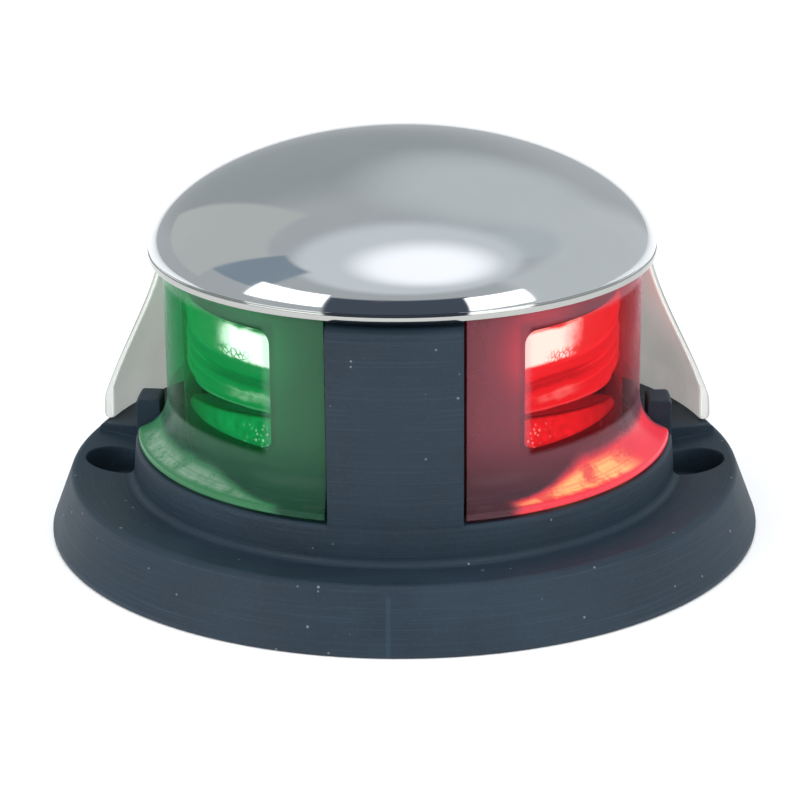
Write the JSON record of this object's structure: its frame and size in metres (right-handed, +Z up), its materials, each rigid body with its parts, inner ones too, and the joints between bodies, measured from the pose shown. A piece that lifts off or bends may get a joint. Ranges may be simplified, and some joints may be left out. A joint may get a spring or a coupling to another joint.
{
  "type": "bicolour navigation light",
  "caption": "Round deck-mounted bow navigation light with green and red side lenses split by a front divider, under a chromed dome hood with a flared rear skirt.",
  "frame": {"origin": "centre of the base's round underside, on the deck surface", "axes": "+Z up out of the deck and -Y towards the front of the light, where the divider is; the green starboard side is at -X and the red port side at +X"},
  "size_m": [0.0826, 0.0826, 0.0458],
  "materials": {
    "navy_plastic": "moulded UV-stable plastic, satin, fine tool lines",
    "chrome": "polished chrome plating",
    "green_lens": "transparent green acrylic, polished",
    "red_lens": "transparent red acrylic, polished",
    "clear_optic": "clear moulded optic",
    "white_reflector": "white textured reflector plastic",
    "black_plastic": "matt black plastic",
    "black_rubber": "soft rubber",
    "grey_pad": "soft silicone pad",
    "aluminium": "bead-blasted aluminium",
    "stainless": "stainless steel",
    "brass": "machined brass",
    "board_green": "green solder mask",
    "board_white": "white solder mask",
    "led_package": "phosphor under clear silicone",
    "capacitor_sleeve": "plain plastic sleeve",
    "wire": "insulated wire"
  },
  "bodies": {
    "root": {"base": "navy_plastic", "deck_gasket": "black_rubber", "bottom_cover": "black_plastic", "cover_o_ring": "black_rubber", "cable_grommet": "black_rubber", "cover_screw_1": "stainless", "cover_screw_2": "stainless", "cover_screw_3": "stainless", "cover_screw_4": "stainless", "driver_board": "board_green", "driver_screw_1": "stainless", "driver_screw_2": "stainless", "capacitor": "capacitor_sleeve", "inductor": "black_plastic", "driver_chip": "black_plastic", "terminal_block": "board_white", "thermal_pad": "grey_pad", "heat_sink": "aluminium", "light_baffle": "black_plastic", "light_housing": "navy_plastic", "led_board_port": "board_white", "led_port": "led_package", "led_board_screw_port_1": "stainless", "led_board_screw_port_2": "stainless", "led_lead_port": "wire", "optic_port": "clear_optic", "reflector_tray_port": "white_reflector", "lens_port": "red_lens", "lens_seal_port": "black_rubber", "led_board_starboard": "board_white", "led_starboard": "led_package", "led_board_screw_starboard_1": "stainless", "led_board_screw_starboard_2": "stainless", "led_lead_starboard": "wire", "optic_starboard": "clear_optic", "reflector_tray_starboard": "white_reflector", "lens_starboard": "green_lens", "lens_seal_starboard": "black_rubber", "hood": "chrome", "hood_gasket": "black_rubber", "hood_insert": "brass", "hood_bolt": "stainless", "skirt_screw_port": "stainless", "skirt_screw_starboard": "stainless"}
  },
  "joints": []
}
